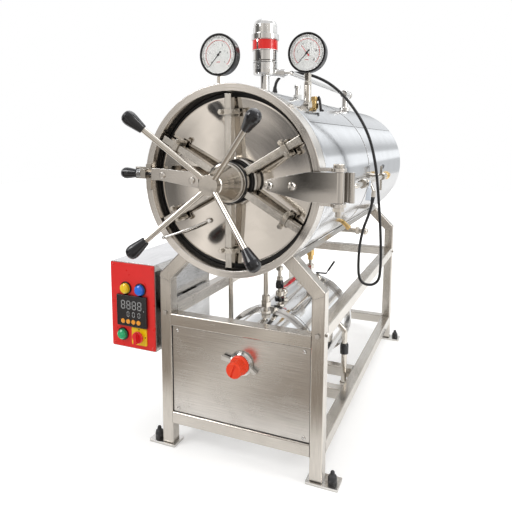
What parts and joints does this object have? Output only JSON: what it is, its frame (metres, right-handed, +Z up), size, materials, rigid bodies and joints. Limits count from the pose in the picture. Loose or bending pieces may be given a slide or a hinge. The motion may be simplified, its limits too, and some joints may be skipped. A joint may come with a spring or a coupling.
{
  "type": "horizontal steam sterilizer",
  "caption": "Horizontal cylindrical steam sterilizer on a tube stand, with a hinged round door locked by radial bars and a handwheel, a boiler below and a control box.",
  "frame": {"origin": "on the floor, in the middle of the four floor anchors", "axes": "+X to the hinge side, +Y from the door to the vessel's rear end, +Z up"},
  "size_m": [0.823, 1.7055, 1.3703],
  "materials": {
    "frame_steel": "brushed",
    "black_oxide": "satin",
    "sheet_steel": "brushed",
    "chrome_fittings": "polished",
    "orange_plastic": "matte",
    "ring_steel": "brushed",
    "jacket_steel": "satin",
    "black_rubber": "matte",
    "cable_rubber": "satin",
    "polished_steel": "polished",
    "bright_chrome": "polished",
    "bar_steel": "brushed",
    "black_knob": "glossy",
    "spring_steel": "satin",
    "gauge_black": "satin",
    "dial_white": "matte",
    "signal_red": "satin",
    "lever_red": "glossy",
    "lever_pale": "glossy",
    "brass": "polished",
    "display_black": "glossy",
    "lamp_yellow": "glossy",
    "lamp_blue": "glossy",
    "button_green": "glossy"
  },
  "bodies": {
    "stand_and_vessel": {"anchor_bolts": "black_oxide", "boiler": "jacket_steel", "boiler_cradle": "frame_steel", "boiler_pipes": "chrome_fittings", "brass_fittings": "brass", "chamber": "ring_steel", "control_cabinet": "sheet_steel", "control_display": "display_black", "control_panel": "signal_red", "cross_rails": "frame_steel", "drain_pipes": "chrome_fittings", "foot_plates": "frame_steel", "front_ring": "ring_steel", "gasket": "black_rubber", "gauge_cases": "gauge_black", "gauge_dials": "dial_white", "gauge_stems": "chrome_fittings", "heater_cap": "orange_plastic", "heater_flange": "chrome_fittings", "hinge_bracket": "ring_steel", "hinge_pin": "chrome_fittings", "jacket_front": "jacket_steel", "jacket_rear": "jacket_steel", "lamp_blue": "lamp_blue", "lamp_yellow": "lamp_yellow", "latch_bracket": "chrome_fittings", "latch_spring": "spring_steel", "legs": "frame_steel", "panel_screws": "chrome_fittings", "rear_cover": "jacket_steel", "saddle_rails": "frame_steel", "safety_band": "signal_red", "safety_valve": "bright_chrome", "sensor_cable": "cable_rubber", "service_panel": "sheet_steel", "side_pipework": "chrome_fittings", "side_rails": "frame_steel", "start_button": "button_green", "switch_plate": "lamp_yellow", "top_pipework": "chrome_fittings", "valve_handles": "black_knob"},
    "door": {"door_disc": "polished_steel", "door_hub": "bright_chrome", "hub_seals": "black_rubber", "bar_guides": "polished_steel", "hinge_arm": "polished_steel", "latch_arm": "polished_steel"},
    "handwheel": {"handwheel": "bright_chrome", "handwheel_knobs": "black_knob"},
    "lock_bar_1": {"lock_bar_1": "bar_steel"},
    "lock_bar_2": {"lock_bar_2": "bar_steel"},
    "lock_bar_3": {"lock_bar_3": "bar_steel"},
    "lock_bar_4": {"lock_bar_4": "bar_steel"},
    "lock_bar_5": {"lock_bar_5": "bar_steel"},
    "lock_bar_6": {"lock_bar_6": "bar_steel"},
    "latch_plunger": {"latch_plunger": "black_knob"},
    "switch_knob": {"switch_knob": "black_knob"},
    "riser_lever": {"riser_lever": "lever_red"},
    "boiler_lever": {"boiler_lever": "black_knob"},
    "side_lever": {"side_lever": "lever_pale"}
  },
  "joints": [
    {"name": "door_swing", "type": "hinge", "parent": "stand_and_vessel", "child": "door", "pos_m": [0.325, -0.692, 0.888], "axis": [0, 0, 1], "range_deg": [0, 110]},
    {"name": "handwheel_turn", "type": "hinge", "parent": "door", "child": "handwheel", "pos_m": [0, -0.75, 0.888], "axis": [0, 1, 0], "range_deg": [0, 90]},
    {"name": "lock_bar_1_slide", "type": "slide", "parent": "door", "child": "lock_bar_1", "axis": [0, 0, 1], "range_m": [0, 0.015]},
    {"name": "lock_bar_2_slide", "type": "slide", "parent": "door", "child": "lock_bar_2", "axis": [-0.866, 0, 0.5], "range_m": [0, 0.015]},
    {"name": "lock_bar_3_slide", "type": "slide", "parent": "door", "child": "lock_bar_3", "axis": [-0.866, 0, -0.5], "range_m": [0, 0.015]},
    {"name": "lock_bar_4_slide", "type": "slide", "parent": "door", "child": "lock_bar_4", "axis": [0, 0, -1], "range_m": [0, 0.015]},
    {"name": "lock_bar_5_slide", "type": "slide", "parent": "door", "child": "lock_bar_5", "axis": [0.866, 0, -0.5], "range_m": [0, 0.015]},
    {"name": "lock_bar_6_slide", "type": "slide", "parent": "door", "child": "lock_bar_6", "axis": [0.866, 0, 0.5], "range_m": [0, 0.015]},
    {"name": "latch_push", "type": "slide", "parent": "stand_and_vessel", "child": "latch_plunger", "axis": [1, 0, 0], "range_m": [0, 0.012], "stiffness_N_per_m": 500, "deforming": ["latch_spring"]},
    {"name": "switch_turn", "type": "hinge", "parent": "stand_and_vessel", "child": "switch_knob", "pos_m": [-0.346, -0.645, 0.366], "axis": [0, 1, 0], "range_deg": [0, 90]},
    {"name": "riser_lever_turn", "type": "hinge", "parent": "stand_and_vessel", "child": "riser_lever", "pos_m": [0.03, -0.3, 0.489], "axis": [0, 0, 1], "range_deg": [0, 90]},
    {"name": "boiler_lever_turn", "type": "hinge", "parent": "stand_and_vessel", "child": "boiler_lever", "pos_m": [0.078, -0.04, 0.48], "axis": [0, 0, 1], "range_deg": [0, 90]},
    {"name": "side_lever_turn", "type": "hinge", "parent": "stand_and_vessel", "child": "side_lever", "pos_m": [0.3186, -0.265, 0.866], "axis": [1, 0, 0], "range_deg": [0, 90]}
  ],
  "couplings": [
    {"joint": "lock_bar_1_slide", "follows": "handwheel_turn", "m_per_rad": 0.0095},
    {"joint": "lock_bar_2_slide", "follows": "handwheel_turn", "m_per_rad": 0.0095},
    {"joint": "lock_bar_3_slide", "follows": "handwheel_turn", "m_per_rad": 0.0095},
    {"joint": "lock_bar_4_slide", "follows": "handwheel_turn", "m_per_rad": 0.0095},
    {"joint": "lock_bar_5_slide", "follows": "handwheel_turn", "m_per_rad": 0.0095},
    {"joint": "lock_bar_6_slide", "follows": "handwheel_turn", "m_per_rad": 0.0095}
  ]
}
